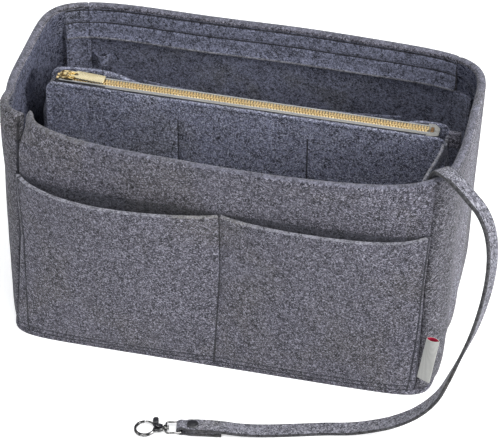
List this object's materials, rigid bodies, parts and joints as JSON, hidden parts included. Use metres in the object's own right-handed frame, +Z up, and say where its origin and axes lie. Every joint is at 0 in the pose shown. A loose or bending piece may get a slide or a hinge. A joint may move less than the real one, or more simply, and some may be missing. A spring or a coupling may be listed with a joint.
{
  "type": "purse organizer insert",
  "caption": "Open felt tub insert for a handbag with outside pockets, a lift-out zipped pouch and a felt key lanyard that ends in a swivel trigger clasp.",
  "frame": {"origin": "middle of the tub's footprint, on the surface it stands on", "axes": "+X along the tub's length to the end where the lanyard hangs, +Y from the front pockets to the back, +Z up"},
  "size_m": [0.3661, 0.2706, 0.1976],
  "materials": {
    "felt_grey": "mottled wool-look felt",
    "felt_dark": "felt in shade and seams",
    "stiffener_board": "plain board",
    "hook_and_loop": "woven tape",
    "zip_tape": "woven tape",
    "zip_metal": "polished",
    "end_stop_metal": "tarnished",
    "slider_metal": "polished pale gold plate",
    "clasp_metal": "bright nickel plate",
    "dark_metal": "gunmetal plate",
    "label_cloth": "woven ribbon"
  },
  "bodies": {
    "tub": {"base_outer": "felt_dark", "base_board": "stiffener_board", "base_lining": "felt_grey", "front_wall": "felt_grey", "back_wall": "felt_grey", "left_end_wall": "felt_grey", "right_end_wall": "felt_grey", "front_pocket": "felt_grey", "back_pocket": "felt_grey", "inner_back_pocket": "felt_grey", "pen_loop": "felt_dark", "front_left_seam_strip": "felt_dark", "front_right_seam_strip": "felt_dark", "back_right_seam_strip": "felt_dark", "back_left_seam_strip": "felt_dark", "side_label": "label_cloth", "base_loop_strip": "hook_and_loop"},
    "pouch": {"pouch_front_panel": "felt_grey", "pouch_back_panel": "felt_grey", "pouch_gusset": "felt_dark", "pouch_inner_pocket": "felt_dark", "pouch_end_tab": "felt_grey", "pouch_hook_strip": "hook_and_loop", "zip_tape_front": "zip_tape", "zip_tape_back": "zip_tape", "zip_teeth_front": "zip_metal", "zip_teeth_back": "zip_metal", "zip_end_stop": "end_stop_metal", "zip_top_stop_front": "zip_metal", "zip_top_stop_back": "zip_metal", "lanyard_strap": "felt_grey", "lanyard_end_loop": "felt_grey", "snap_post": "dark_metal", "snap_stud": "dark_metal", "snap_socket": "dark_metal", "snap_cap": "dark_metal"},
    "zip_slider": {"slider_top_plate": "slider_metal", "slider_bottom_plate": "slider_metal"},
    "zip_pull": {"pull_tab": "slider_metal"},
    "lanyard_eye": {"clasp_eye": "clasp_metal"},
    "lanyard_claw": {"clasp_claw": "clasp_metal", "trigger_pin": "clasp_metal", "trigger_spring": "clasp_metal"},
    "lanyard_trigger": {"trigger_lever": "dark_metal"}
  },
  "joints": [
    {"name": "pouch_lift", "type": "slide", "parent": "tub", "child": "pouch", "axis": [0, 0, 1], "range_m": [0, 0.2]},
    {"name": "slider_travel", "type": "slide", "parent": "pouch", "child": "zip_slider", "axis": [1, 0, 0], "range_m": [0, 0.26]},
    {"name": "pull_flip", "type": "hinge", "parent": "zip_slider", "child": "zip_pull", "pos_m": [-0.1308, 0.0074, 0.1775], "axis": [0, -1, 0], "range_deg": [0, 172]},
    {"name": "eye_swing", "type": "hinge", "parent": "pouch", "child": "lanyard_eye", "pos_m": [-0.00841, -0.15539, 0.0039], "axis": [-0.1908, 0.9816, 0], "range_deg": [0, 75]},
    {"name": "claw_swivel", "type": "hinge", "parent": "lanyard_eye", "child": "lanyard_claw", "pos_m": [-0.01967, -0.15757, 0.00307], "axis": [-0.9791, -0.1903, -0.0721], "continuous": true},
    {"name": "trigger_press", "type": "hinge", "parent": "lanyard_claw", "child": "lanyard_trigger", "pos_m": [-0.02501, -0.1578, 0.00269], "axis": [-0.0707, -0.0138, 0.9974], "range_deg": [0, 22], "stiffness_Nm_per_rad": 0.01, "springref_deg": -11.46}
  ]
}
